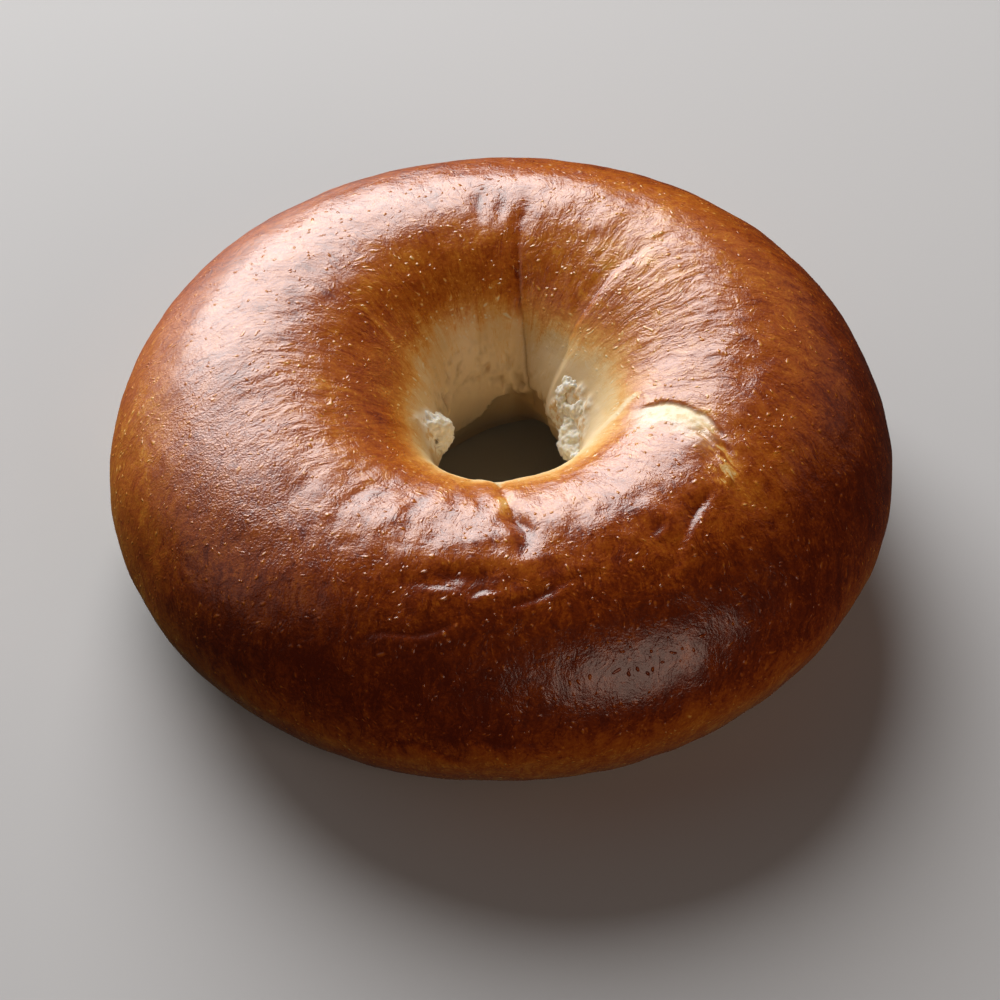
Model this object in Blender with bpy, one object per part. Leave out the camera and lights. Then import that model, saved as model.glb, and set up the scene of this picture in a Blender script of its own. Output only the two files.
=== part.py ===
"""A plain bagel: a ring of boiled and baked dough, lying on its flat base.

Metres, +Z up. The origin is the middle of the box around the bagel, on the surface it rests on.
A place on the ring is given by two angles. "Around" runs anticlockwise from +X, seen from above.
"Over" runs across the dough: 0 is the widest line outside, 90 the crown, 180 the narrowest line
in the hole, 270 where the hole meets the base, and -90 where the outside meets it.
"""
import bmesh
import bpy
import numpy as np

MM = 0.001

# Driving sizes in millimetres: the section through the dough
OUTER_RADIUS = 57.5
OUTER_HEIGHT = 14.4
CROWN_RADIUS = 33.9
CROWN_HEIGHT = 35.8
WAIST_RADIUS = 10.6
WAIST_HEIGHT = 16.7
INNER_FOOT_RADIUS = 22.7
OUTER_FOOT_RADIUS = 46.0

# How full each quarter of the section is: 2 is an ellipse, less is leaner, more is squarer
FULLNESS_OUTSIDE = 2.07
FULLNESS_INTO_HOLE = 1.97
FULLNESS_UNDER_WAIST = 1.50
FULLNESS_UNDER_OUTSIDE = 1.57

# Hand-rolled unevenness: waves around the ring, as (count, size in mm, where it is fullest in degrees)
OUTER_WAVES = ((2, 0.10, 40.0), (3, 0.14, 9.0), (4, 0.19, -40.0), (5, 0.08, -13.0))
WAIST_WAVES = ((1, 1.56, -74.0), (2, 1.43, -74.0), (3, 1.04, -14.0))
RIDGE_WAVES = ((1, 0.39, -83.0), (2, 1.24, 55.0), (3, 0.52, -14.0))
CROWN_WAVES = ((1, 1.11, 54.0), (2, 0.35, 17.0))
FOOT_WAVES = ((1, 0.84, 13.0), (2, 1.75, 51.0), (3, 2.68, 60.0))

# Folds and splits. Each has its route as (around, over) in degrees, how deep and how wide it is in
# millimetres, and how far its left bank stands above its right one, looking along the route
FOLDS = (
    {"name": "seam", "depth": 1.4, "width": 1.4, "step": -0.8,
     "route": ((84, 100), (84, 109), (83.5, 117), (81, 133), (78.5, 144), (74, 157), (70, 167), (66, 188))},
    {"name": "furrow_by_seam", "depth": 0.6, "width": 1.6, "step": 0.0,
     "route": ((95, 80), (95, 89), (95.5, 98), (94.5, 112))},
    {"name": "lap", "depth": 0.6, "width": 1.4, "step": 1.4,
     "route": ((40, 84), (44, 94), (46, 103), (47, 113), (47, 121), (46, 136), (43, 145), (35, 159))},
    {"name": "split", "depth": 0.9, "width": 1.8, "step": 0.9,
     "route": ((337, 130), (338.5, 123), (340, 113), (337.5, 99), (333, 87.5), (328, 79), (323.5, 71))},
    {"name": "nick", "depth": 1.0, "width": 1.5, "step": 0.2,
     "route": ((270, 136), (271, 118), (273.5, 105), (276, 91), (274.5, 84), (271.5, 75))},
    {"name": "ledge", "depth": 0.5, "width": 1.4, "step": -0.4,
     "route": ((252, 68), (260, 69), (266, 66), (273, 62.5), (281, 67), (287, 69.5))},
    {"name": "low_ledge", "depth": 0.3, "width": 1.4, "step": -0.3,
     "route": ((247, 38), (251, 47), (257, 50), (262, 55), (266, 60))},
    {"name": "low_crease", "depth": 0.5, "width": 1.5, "step": -0.3,
     "route": ((262, 9), (269, 9), (280, 7))},
)
FOLD_TAPER = 0.22
FOLD_SAMPLES = 60

# Torn crumb standing proud in the hole: (around, over) in degrees, height and radius in millimetres
TUFTS = (
    (30, 160, 1.0, 2.4),
    (16, 167, 1.3, 3.0),
    (2, 170, 1.0, 2.6),
    (184, 163, 1.2, 2.6),
    (194, 168, 1.0, 2.2),
)

# The mesh: loops across the ring are closer together where the folds are; BASE_BLEND is the height in
# millimetres over which the folds fade in above the base
STEPS_AROUND = 108
STEPS_OVER = 41
STEPS_BASE = 3
CLOSE_AT = ((50, 10), (85, 14), (272, 14), (333, 14))
CLOSENESS = 1.4
BASE_BLEND = 4.0

# How finely angles are sampled when distances along the dough are measured
FINE_STEPS = 1440
NORMAL_STEP = 0.5

CRUST_COLOUR = (0.32, 0.115, 0.028, 1.0)
CRUST_ROUGHNESS = 0.32


def swollen(size, waves, around):
    """A size of the section, varied by its waves around the ring."""
    result = size + 0 * around
    for count, amount, peak in waves:
        result = result + amount * np.cos(count * (around - np.radians(peak)))
    return result


def quarter(angle, fullness):
    """Cosine and sine of a quarter turn, drawn fuller or leaner than a circle."""
    across = np.abs(np.cos(angle)) ** (2.0 / fullness)
    up = np.abs(np.sin(angle)) ** (2.0 / fullness)
    return across, up


def surface(around, over):
    """Points of the smooth ring in millimetres, for angles in radians."""
    around, over = np.broadcast_arrays(around, over)
    outer = swollen(OUTER_RADIUS, OUTER_WAVES, around)
    waist = swollen(WAIST_RADIUS, WAIST_WAVES, around)
    crown = swollen(CROWN_HEIGHT, CROWN_WAVES, around)
    foot = swollen(INNER_FOOT_RADIUS, FOOT_WAVES, around)
    ridge = swollen(CROWN_RADIUS, RIDGE_WAVES, around)
    half = np.pi / 2
    out_x, out_z = quarter(over, FULLNESS_OUTSIDE)
    in_x, in_z = quarter(over, FULLNESS_INTO_HOLE)
    low_x, low_z = quarter(over, FULLNESS_UNDER_WAIST)
    under_x, under_z = quarter(over, FULLNESS_UNDER_OUTSIDE)
    places = [over < 0, over < half, over < 2 * half]
    radius = np.select(places, [
        OUTER_FOOT_RADIUS + (outer - OUTER_FOOT_RADIUS) * under_x,
        ridge + (outer - ridge) * out_x,
        ridge - (ridge - waist) * in_x,
    ], foot - (foot - waist) * low_x)
    height = np.select(places, [
        OUTER_HEIGHT * (1 - under_z),
        OUTER_HEIGHT + (crown - OUTER_HEIGHT) * out_z,
        WAIST_HEIGHT + (crown - WAIST_HEIGHT) * in_z,
    ], WAIST_HEIGHT * (1 - low_z))
    return np.stack([radius * np.cos(around), radius * np.sin(around), height], axis=-1)


def outward(around, over):
    """Unit normals of the smooth ring."""
    small = np.radians(NORMAL_STEP)
    further = np.minimum(over + small, 3 * np.pi / 2)
    nearer = np.maximum(over - small, -np.pi / 2)
    along = surface(around + small, over) - surface(around - small, over)
    across = surface(around, further) - surface(around, nearer)
    normal = np.cross(along, across)
    return normal / np.linalg.norm(normal, axis=-1, keepdims=True)


def route_points(route):
    """A route's corners joined by a smooth curve that lies on the ring."""
    corners = np.radians(np.array(route, dtype=float))
    places = np.linspace(0, len(corners) - 1, FOLD_SAMPLES)
    slopes = np.gradient(corners, axis=0)
    start = np.minimum(places.astype(int), len(corners) - 2)
    part = (places - start)[:, None]
    curve = (
        (2 * part ** 3 - 3 * part ** 2 + 1) * corners[start]
        + (part ** 3 - 2 * part ** 2 + part) * slopes[start]
        + (3 * part ** 2 - 2 * part ** 3) * corners[start + 1]
        + (part ** 3 - part ** 2) * slopes[start + 1]
    )
    return surface(curve[:, 0], curve[:, 1])


def fold_relief(points, normals, fold):
    """How far one fold moves each point along its normal, in millimetres."""
    route = route_points(fold["route"])
    gaps = np.linalg.norm(points[:, None, :] - route[None, :, :], axis=-1)
    nearest = np.argmin(gaps, axis=1)
    gap = gaps[np.arange(len(points)), nearest]
    heading = np.gradient(route, axis=0)[nearest]
    left = np.cross(normals, heading)
    side = np.sign(np.sum(left * (points - route[nearest]), axis=1))
    run = nearest / (len(route) - 1)
    ends = np.clip(np.minimum(run, 1 - run) / FOLD_TAPER, 0, 1)
    strength = ends * ends * (3 - 2 * ends)
    groove = -fold["depth"] * np.exp(-(gap / fold["width"]) ** 2)
    rise = (1 - np.exp(-gap / fold["width"])) * np.exp(-gap / (3 * fold["width"]))
    bank = 0.5 * fold["step"] * side * rise
    return strength * (groove + bank)


def tuft_relief(points, tuft):
    """How far one tuft of torn crumb stands out, in millimetres."""
    around, over, height, radius = tuft
    middle = surface(np.radians(around), np.radians(over))
    gap = np.linalg.norm(points - middle, axis=-1)
    return height * np.exp(-(gap / radius) ** 2)


def even_over_angles():
    """Over angles at equal distances across the section, from the outer foot to the inner foot."""
    fine = np.linspace(-np.pi / 2, 3 * np.pi / 2, FINE_STEPS + 1)
    section = surface(np.zeros_like(fine), fine)
    lengths = np.linalg.norm(np.diff(section, axis=0), axis=1)
    travelled = np.concatenate([[0], np.cumsum(lengths)])
    wanted = np.linspace(0, travelled[-1], STEPS_OVER + 1)
    return np.interp(wanted, travelled, fine)


def around_angles():
    """Around angles, closer together beside the folds."""
    fine = np.linspace(0, 360, FINE_STEPS + 1)
    density = np.ones_like(fine)
    for place, spread in CLOSE_AT:
        apart = (fine - place + 180) % 360 - 180
        density += CLOSENESS * np.exp(-(apart / spread) ** 2)
    travelled = np.concatenate([[0], np.cumsum(0.5 * (density[1:] + density[:-1]))])
    wanted = np.linspace(0, travelled[-1], STEPS_AROUND + 1)[:-1]
    return np.radians(np.interp(wanted, travelled, fine))


def bagel_loops():
    """The ring's points as rows, one row for each step over the dough, then the base's rows."""
    around = around_angles()
    over = even_over_angles()
    grid_around, grid_over = np.meshgrid(around, over)
    points = surface(grid_around, grid_over)
    normals = outward(grid_around, grid_over)
    flat_points = points.reshape(-1, 3)
    flat_normals = normals.reshape(-1, 3)
    relief = np.zeros(len(flat_points))
    for fold in FOLDS:
        relief += fold_relief(flat_points, flat_normals, fold)
    for tuft in TUFTS:
        relief += tuft_relief(flat_points, tuft)
    relief *= np.clip(flat_points[:, 2] / BASE_BLEND, 0, 1)
    shaped = (flat_points + relief[:, None] * flat_normals).reshape(points.shape)
    rows = list(shaped)
    for step in range(1, STEPS_BASE):
        share = step / STEPS_BASE
        rows.append(shaped[-1] * (1 - share) + shaped[0] * share)
    return np.array(rows) * MM


def centred(rows):
    """The rows moved so that the middle of their box is over the origin and the base is at zero."""
    low = rows.reshape(-1, 3).min(axis=0)
    high = rows.reshape(-1, 3).max(axis=0)
    middle = (low + high) / 2
    return rows - np.array([middle[0], middle[1], low[2]])


def crust_material():
    material = bpy.data.materials.new("crust")
    material.use_nodes = True
    shader = material.node_tree.nodes["Principled BSDF"]
    shader.inputs["Base Color"].default_value = CRUST_COLOUR
    shader.inputs["Roughness"].default_value = CRUST_ROUGHNESS
    shader.inputs["Metallic"].default_value = 0.0
    return material


def make_bagel():
    rows = centred(bagel_loops())
    shape = bmesh.new()
    loops = [[shape.verts.new(point) for point in row] for row in rows]
    for row, above in zip(loops, loops[1:] + loops[:1]):
        for step in range(STEPS_AROUND):
            following = (step + 1) % STEPS_AROUND
            shape.faces.new((row[step], row[following], above[following], above[step]))
    bmesh.ops.recalc_face_normals(shape, faces=shape.faces)
    mesh = bpy.data.meshes.new("bagel")
    shape.to_mesh(mesh)
    shape.free()
    mesh.shade_smooth()
    mesh.materials.append(crust_material())
    bagel = bpy.data.objects.new("bagel", mesh)
    bpy.context.scene.collection.objects.link(bagel)
    return bagel


def main():
    for item in list(bpy.data.objects):
        bpy.data.objects.remove(item, do_unlink=True)
    make_bagel()


main()
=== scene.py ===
"""Looks of the plain bagel: crust, folds, split, torn crumb in the hole, floor, light and camera.

A place on the ring is given by two angles. "Around" runs anticlockwise from +X, seen from above.
"Over" runs across the dough: 0 is the widest line outside, 90 the crown, 180 the narrowest line
in the hole, 270 where the hole meets the base, and -90 where the outside meets it.
Sizes in the shape functions are millimetres; the finished pieces are metres.
"""
import math

import bmesh
import bpy
import numpy as np
from mathutils import Matrix, Vector, noise


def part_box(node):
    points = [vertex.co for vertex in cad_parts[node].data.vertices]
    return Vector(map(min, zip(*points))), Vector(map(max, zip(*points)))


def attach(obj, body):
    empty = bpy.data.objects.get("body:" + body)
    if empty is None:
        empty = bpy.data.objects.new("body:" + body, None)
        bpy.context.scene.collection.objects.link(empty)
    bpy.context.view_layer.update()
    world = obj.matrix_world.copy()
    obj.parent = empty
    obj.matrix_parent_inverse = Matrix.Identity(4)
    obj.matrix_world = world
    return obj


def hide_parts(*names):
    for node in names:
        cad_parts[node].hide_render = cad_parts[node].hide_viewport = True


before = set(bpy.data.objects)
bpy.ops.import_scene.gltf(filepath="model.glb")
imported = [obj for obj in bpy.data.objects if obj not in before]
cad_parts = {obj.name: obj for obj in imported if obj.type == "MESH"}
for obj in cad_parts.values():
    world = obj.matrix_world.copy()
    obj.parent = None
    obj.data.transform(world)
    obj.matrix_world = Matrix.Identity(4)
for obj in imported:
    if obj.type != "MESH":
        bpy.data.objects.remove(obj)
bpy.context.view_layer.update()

MM = 0.001

# ---------------------------------------------------------------- driving sizes, from the CAD box

BOX_LOW, BOX_HIGH = [np.array(corner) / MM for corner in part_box("bagel")]
BOX_MIDDLE = (BOX_LOW + BOX_HIGH) / 2
WIDTH = BOX_HIGH[0] - BOX_LOW[0]
HEIGHT = BOX_HIGH[2] - BOX_LOW[2]

OUTER_RADIUS = 0.502 * WIDTH
OUTER_HEIGHT = 0.3874 * HEIGHT
CROWN_RADIUS = 0.2959 * WIDTH
CROWN_HEIGHT = 0.9631 * HEIGHT
WAIST_RADIUS = 0.0925 * WIDTH
WAIST_HEIGHT = 0.4493 * HEIGHT
INNER_FOOT_RADIUS = 0.1982 * WIDTH
OUTER_FOOT_RADIUS = 0.4016 * WIDTH

# How full each quarter of the section is: 2 is an ellipse, less is leaner, more is squarer
FULLNESS_OUTSIDE = 2.07
FULLNESS_INTO_HOLE = 1.97
FULLNESS_UNDER_WAIST = 1.50
FULLNESS_UNDER_OUTSIDE = 1.57

# Hand-rolled unevenness: waves around the ring, as (count, size in mm, where it is fullest in degrees)
OUTER_WAVES = ((2, 0.10, 40.0), (3, 0.14, 9.0), (4, 0.19, -40.0), (5, 0.08, -13.0))
WAIST_WAVES = ((1, 1.56, -74.0), (2, 1.43, -74.0), (3, 1.04, -14.0))
RIDGE_WAVES = ((1, 0.39, -83.0), (2, 1.24, 55.0), (3, 0.52, -14.0))
CROWN_WAVES = ((1, 1.11, 54.0), (2, 0.35, 17.0))
FOOT_WAVES = ((1, 0.84, 13.0), (2, 1.75, 51.0), (3, 2.68, 60.0))

# Mesh steps: the crown, the hole and the folds get closer loops than the sides and the base
STEPS_AROUND = 450
STEPS_OVER = 213
STEPS_BASE = 8
# Where the loops are closer, as (around, spread) in degrees, and by how much
CLOSE_AT = ((30, 30), (86, 14), (272, 12), (330, 16))
CLOSENESS = 0.7
# Fine steps over which the spacing of the loops is measured
MEASURED_AROUND = 1440
MEASURED_OVER = 2880


# ---------------------------------------------------------------- shape of the smooth ring

def swollen(size, waves, around):
    """A size of the section, varied by its waves around the ring."""
    result = size + 0 * around
    for count, amount, peak in waves:
        result = result + amount * np.cos(count * (around - np.radians(peak)))
    return result


def quarter(angle, fullness):
    """Cosine and sine of a quarter turn, drawn fuller or leaner than a circle."""
    across = np.abs(np.cos(angle)) ** (2.0 / fullness)
    up = np.abs(np.sin(angle)) ** (2.0 / fullness)
    return across, up


def surface(around, over):
    """Points of the smooth ring in millimetres, for angles in radians."""
    around, over = np.broadcast_arrays(around, over)
    outer = swollen(OUTER_RADIUS, OUTER_WAVES, around)
    waist = swollen(WAIST_RADIUS, WAIST_WAVES, around)
    crown = swollen(CROWN_HEIGHT, CROWN_WAVES, around)
    foot = swollen(INNER_FOOT_RADIUS, FOOT_WAVES, around)
    ridge = swollen(CROWN_RADIUS, RIDGE_WAVES, around)
    half = np.pi / 2
    out_x, out_z = quarter(over, FULLNESS_OUTSIDE)
    in_x, in_z = quarter(over, FULLNESS_INTO_HOLE)
    low_x, low_z = quarter(over, FULLNESS_UNDER_WAIST)
    under_x, under_z = quarter(over, FULLNESS_UNDER_OUTSIDE)
    places = [over < 0, over < half, over < 2 * half]
    radius = np.select(places, [
        OUTER_FOOT_RADIUS + (outer - OUTER_FOOT_RADIUS) * under_x,
        ridge + (outer - ridge) * out_x,
        ridge - (ridge - waist) * in_x,
    ], foot - (foot - waist) * low_x)
    height = np.select(places, [
        OUTER_HEIGHT * (1 - under_z),
        OUTER_HEIGHT + (crown - OUTER_HEIGHT) * out_z,
        WAIST_HEIGHT + (crown - WAIST_HEIGHT) * in_z,
    ], WAIST_HEIGHT * (1 - low_z))
    return np.stack([radius * np.cos(around), radius * np.sin(around), height], axis=-1)


def outward(around, over):
    """Unit normals of the smooth ring."""
    small = np.radians(0.5)
    further = np.minimum(over + small, 3 * np.pi / 2)
    nearer = np.maximum(over - small, -np.pi / 2)
    along = surface(around + small, over) - surface(around - small, over)
    across = surface(around, further) - surface(around, nearer)
    normal = np.cross(along, across)
    return normal / np.linalg.norm(normal, axis=-1, keepdims=True)


def smooth_step(low, high, value):
    """0 below low, 1 above high and an even rise between; low above high turns it round."""
    part = np.clip((value - low) / (high - low), 0, 1)
    return part * part * (3 - 2 * part)


def bump_at(value, middle, spread):
    """A soft hill, 1 at its middle."""
    return np.exp(-((value - middle) / spread) ** 2)


def turned(angle, middle):
    """Degrees from middle to angle, the short way round."""
    return (angle - middle + 180) % 360 - 180


def patch(turn, over, middle, spread):
    """A soft patch of the crust, 1 at its middle; middle and spread are (around, over) in degrees."""
    return bump_at(turned(turn, middle[0]), 0, spread[0]) * bump_at(over, middle[1], spread[1])


def lumps(places, size, seed=0.0):
    """Smooth noise between -1 and 1 at each place, in lumps about size wide; each seed gives other lumps."""
    scaled = places / size + seed
    return np.array([noise.noise(place) for place in scaled.tolist()])


# ---------------------------------------------------------------- folds, splits and dents

def fold(route, groove=(0.0, 1.0), valley=(0.0, 1.0), step=(0.0, 1.0), taper=0.25):
    """One fold of the dough.

    Its route is (around, over) corners in degrees. Groove and valley are the depth and width, in
    millimetres, of its sharp and its soft part. Step is how far its left bank stands above its right
    one, looking along the route, and over what width. Taper is the share of its length at each end
    over which it fades.
    """
    return {"route": route, "groove": groove, "valley": valley, "step": step, "taper": taper}


FOLDS = {
    # The back: soft furrows over the crown, the seam down the wall, and the lap beside it
    "furrow_left": fold(((95, 79), (95, 88), (95.5, 98), (94.5, 111)), valley=(0.36, 1.3), taper=0.5),
    "furrow_middle": fold(((89, 83), (89.5, 92), (90, 101), (90, 111)), valley=(0.26, 1.1), taper=0.5),
    "furrow_right": fold(
        ((79, 84), (82, 93), (83.5, 101), (84, 109), (84, 117), (83.5, 126)),
        valley=(0.38, 1.5), taper=0.5),
    "seam": fold(
        ((84, 106), (83.5, 117), (81, 133), (78.5, 144), (74, 157), (70, 167), (67, 180), (66, 200)),
        groove=(0.38, 0.30), valley=(0.25, 1.4), step=(-0.6, 1.2), taper=0.25),
    "lap": fold(
        ((41, 88), (44, 95), (46, 103), (47, 113), (47, 121), (46.5, 128), (46, 136), (43, 145), (38, 154),
         (33, 162)),
        groove=(0.16, 0.42), valley=(0.10, 2.2), step=(0.6, 0.9), taper=0.4),
    # The right: the split's lip, and two streaks running down from it
    "split": fold(
        ((337, 130), (338.5, 123), (340, 116), (339.5, 109), (337.5, 99), (335.5, 92.5), (333, 87.5),
         (330, 82.5), (327.5, 78), (323.5, 71)),
        groove=(0.16, 0.26), valley=(0.22, 2.2), step=(0.5, 0.5), taper=0.25),
    "streak_long": fold(
        ((296, 57.5), (302, 61.5), (305.5, 67), (309, 71), (312, 73.5), (315.5, 75.3), (320, 77)),
        groove=(0.26, 0.5), valley=(0.10, 1.4), step=(-0.34, 0.6), taper=0.28),
    "streak_short": fold(
        ((299, 71.5), (301.5, 74), (304, 76), (307, 78)),
        groove=(0.18, 0.5), step=(-0.25, 0.6), taper=0.5),
    # The front: a nick in the rim, soft pleats beside it, and ledges below it
    "nick": fold(
        ((269.5, 138), (270.5, 125), (271.5, 115), (273.5, 105), (275, 97), (276, 91), (274.5, 84)),
        groove=(0.10, 0.45), valley=(0.26, 0.9), taper=0.3),
    "rim_notch": fold(
        ((268.5, 152), (269.5, 141), (270.3, 131), (271, 122)),
        groove=(0.35, 0.5), valley=(0.30, 1.4), taper=0.35),
    "nick_wedge": fold(
        ((271.5, 108), (274, 99), (276.5, 91), (275.5, 85), (272.5, 78)), valley=(0.66, 1.5), taper=0.25),
    "pleat_first": fold(((236, 122), (238, 110), (236, 98), (230, 84)), valley=(0.14, 1.3), taper=0.5),
    "pleat_second": fold(((247, 122), (249, 112), (248, 100), (243, 84)), valley=(0.17, 1.2), taper=0.5),
    "pleat_third": fold(((256, 122), (257, 113), (257, 102), (253, 88)), valley=(0.15, 1.1), taper=0.5),
    "pleat_fourth": fold(((263, 122), (264.5, 112), (265.5, 101), (263, 88)), valley=(0.15, 1.0), taper=0.5),
    "front_hollow": fold(
        ((250, 71), (257, 73), (263, 73.5), (270, 72), (277, 70)), valley=(0.44, 1.7), taper=0.5),
    "ledge_left": fold(
        ((249, 67.5), (254, 68), (258, 68.5), (262, 69), (265.5, 67.3)),
        groove=(0.14, 0.5), step=(-0.28, 0.6), taper=0.5),
    "ledge_middle": fold(
        ((263.5, 65.3), (265.5, 66.5), (268, 68), (271.5, 67)),
        groove=(0.26, 0.5), step=(-0.42, 0.6), taper=0.5),
    "ledge_right": fold(
        ((270, 60.5), (273, 62.3), (276, 63.7), (281, 67.3), (288, 69.8)),
        groove=(0.24, 0.5), step=(-0.32, 0.6), taper=0.4),
    "ledge_low": fold(
        ((246, 36.5), (249, 42.8), (251, 47.5), (254, 49.3), (257.5, 49.8), (260.5, 52.8), (262.5, 55.6),
         (265.5, 61)),
        groove=(0.24, 0.45), step=(-0.42, 0.6), taper=0.35),
    # Close to the base
    "low_crease": fold(
        ((261, 9.5), (266.5, 10.5), (270, 8.5), (274, 8.5), (280, 6.5)),
        groove=(0.30, 0.5), step=(-0.34, 0.7), taper=0.4),
    "low_fold": fold(
        ((253, 2), (258, 6.5), (262, 3), (266, -4)),
        groove=(0.18, 0.45), step=(-0.18, 0.6), taper=0.4),
}
# Points along each route, and a distance in millimetres that is out of any fold's reach
ROUTE_SAMPLES = 160
FAR_AWAY = 1000.0
# How far the folds stray from their routes, in millimetres
FOLD_WOBBLE = 0.3
# The height above the base, in millimetres, over which the relief grows from nothing to its full size
STILL_HEIGHT = 4.0

# Paler raised lines in the crust, the last one a painted glint along the long streak: a route, a half width
# in millimetres and how much less brown
PALER_LINES_AND_PAINTED_GLINT = (
    (((346, 124), (346, 130), (341, 135), (336, 141), (331.5, 147)), 0.55, 0.50),
    (((148, 108), (149, 113), (151, 120), (152.5, 127), (155, 132)), 0.34, 0.22),
    (((191.5, 97), (191.5, 108), (191.5, 117), (194, 123), (197, 129)), 0.34, 0.20),
    # A painted glint along the bank of the long streak
    (((296, 57), (302, 61.5), (305.5, 67), (309, 71), (312, 73.5)), 0.42, 0.16),
)
PALE_LINE_HEIGHT = 0.07


def route_points(route):
    """A route's corners joined by a smooth curve that lies on the ring."""
    corners = np.radians(np.array(route, dtype=float))
    places = np.linspace(0, len(corners) - 1, ROUTE_SAMPLES)
    slopes = np.gradient(corners, axis=0)
    start = np.minimum(places.astype(int), len(corners) - 2)
    part = (places - start)[:, None]
    curve = (
        (2 * part ** 3 - 3 * part ** 2 + 1) * corners[start]
        + (part ** 3 - 2 * part ** 2 + part) * slopes[start]
        + (3 * part ** 2 - 2 * part ** 3) * corners[start + 1]
        + (part ** 3 - part ** 2) * slopes[start + 1]
    )
    return surface(curve[:, 0], curve[:, 1])


def beside_fold(points, normals, one_fold):
    """How far each point lies beside a fold, positive on its left, and how strong the fold is there."""
    route = route_points(one_fold["route"])
    reach = 4 * max(one_fold["valley"][1], one_fold["groove"][1], one_fold["step"][1])
    near = np.all((points > route.min(axis=0) - reach) & (points < route.max(axis=0) + reach), axis=1)
    apart = np.full(len(points), FAR_AWAY)
    strength = np.zeros(len(points))
    close = points[near]
    gaps = np.linalg.norm(close[:, None, :] - route[None, :, :], axis=-1)
    nearest = np.argmin(gaps, axis=1)
    heading = np.gradient(route, axis=0)[nearest]
    left = np.cross(normals[near], heading)
    side = np.sign(np.sum(left * (close - route[nearest]), axis=1))
    run = nearest / (len(route) - 1)
    apart[near] = side * gaps[np.arange(len(close)), nearest] + FOLD_WOBBLE * lumps(close, 1.6, 5.0)
    strength[near] = smooth_step(0, one_fold["taper"], np.minimum(run, 1 - run))
    return apart, strength


def fold_relief(one_fold, apart, strength):
    """How far a fold moves each point along its normal, and how deep in the groove the point is, 0 to 1."""
    groove_depth, groove_width = one_fold["groove"]
    valley_depth, valley_width = one_fold["valley"]
    step_height, step_width = one_fold["step"]
    in_groove = bump_at(apart, 0, groove_width)
    relief = -groove_depth * in_groove - valley_depth * bump_at(apart, 0, valley_width)
    bank = np.tanh(apart / step_width) * np.exp(-np.abs(apart) / (4 * step_width))
    return strength * (relief + 0.6 * step_height * bank), strength * in_groove


# ---------------------------------------------------------------- the crust's fine mesh

def section_lengths():
    """Fine over angles, and the length of each step between them in millimetres."""
    fine = np.linspace(-np.pi / 2, 3 * np.pi / 2, MEASURED_OVER + 1)
    section = surface(np.zeros_like(fine), fine)
    steps = np.linalg.norm(np.diff(section, axis=0), axis=1)
    return fine, steps


def over_angles():
    """Over angles across the section, spaced by distance, closer on the crown and in the hole."""
    fine, steps = section_lengths()
    degrees = np.degrees((fine[1:] + fine[:-1]) / 2)
    closeness = 1 + 0.6 * smooth_step(20, 50, degrees) - 0.9 * smooth_step(195, 215, degrees)
    travelled = np.concatenate([[0], np.cumsum(steps * closeness)])
    wanted = np.linspace(0, travelled[-1], STEPS_OVER + 1)
    return np.interp(wanted, travelled, fine)


def around_angles():
    """Around angles, closer together beside the folds."""
    fine = np.linspace(0, 360, MEASURED_AROUND + 1)
    density = np.ones_like(fine)
    for place, spread in CLOSE_AT:
        density += CLOSENESS * bump_at(turned(fine, place), 0, spread)
    travelled = np.concatenate([[0], np.cumsum(0.5 * (density[1:] + density[:-1]))])
    wanted = np.linspace(0, travelled[-1], STEPS_AROUND + 1)[:-1]
    return np.radians(np.interp(wanted, travelled, fine))


def distance_over(over):
    """Millimetres along the section from the crown, positive into the hole."""
    fine, steps = section_lengths()
    travelled = np.concatenate([[0], np.cumsum(steps)])
    return np.interp(over, fine, travelled) - np.interp(np.pi / 2, fine, travelled)


def dough_places(around, over):
    """Places on the dough rolled out flat: wrinkles run along z here, which is across the ring."""
    along = distance_over(over)
    # Wrinkles lean towards the front on the way out
    lean = -0.4 * np.cos(around) * smooth_step(108, 86, np.degrees(over))
    leaning = around + lean * along / CROWN_RADIUS
    return np.stack([CROWN_RADIUS * np.cos(leaning), CROWN_RADIUS * np.sin(leaning), along], axis=-1)


# Browner and paler patches of the crust, and one of painted shade: middle and spread as (around, over) in
# degrees, how much browner
BROWNING_PATCHES_AND_PAINTED_SHADE = (
    # The crown is paler at the back right, and the slopes into the hole are browner on the left
    ((48, 84), (32, 34), -0.18),
    ((0, 90), (30, 16), -0.05),
    ((160, 124), (75, 14), 0.07),
    ((208, 132), (26, 13), 0.09),
    # Darker in the hollow above the ledges on the front: painted shade
    ((264, 72), (16, 5), 0.06),
    # A paler fleck in the nick, and a paler patch below the split
    ((271.5, 110), (2.2, 7), -0.40),
    ((323, 64), (6, 9), -0.10),
    # Small darker scorches
    ((136.5, 98), (3.0, 2.4), 0.12),
    ((135, 105), (2.2, 1.76), 0.12),
    ((153, 99), (3.4, 2.72), 0.10),
    ((3, 127), (5.0, 4.0), 0.12),
    ((356, 134), (4.0, 3.2), 0.14),
    ((349, 137), (3.5, 2.8), 0.10),
)
CROWN_BROWN = 0.74
# How far over into the hole the browned crust reaches, in degrees
CRUST_END = 142


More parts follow.
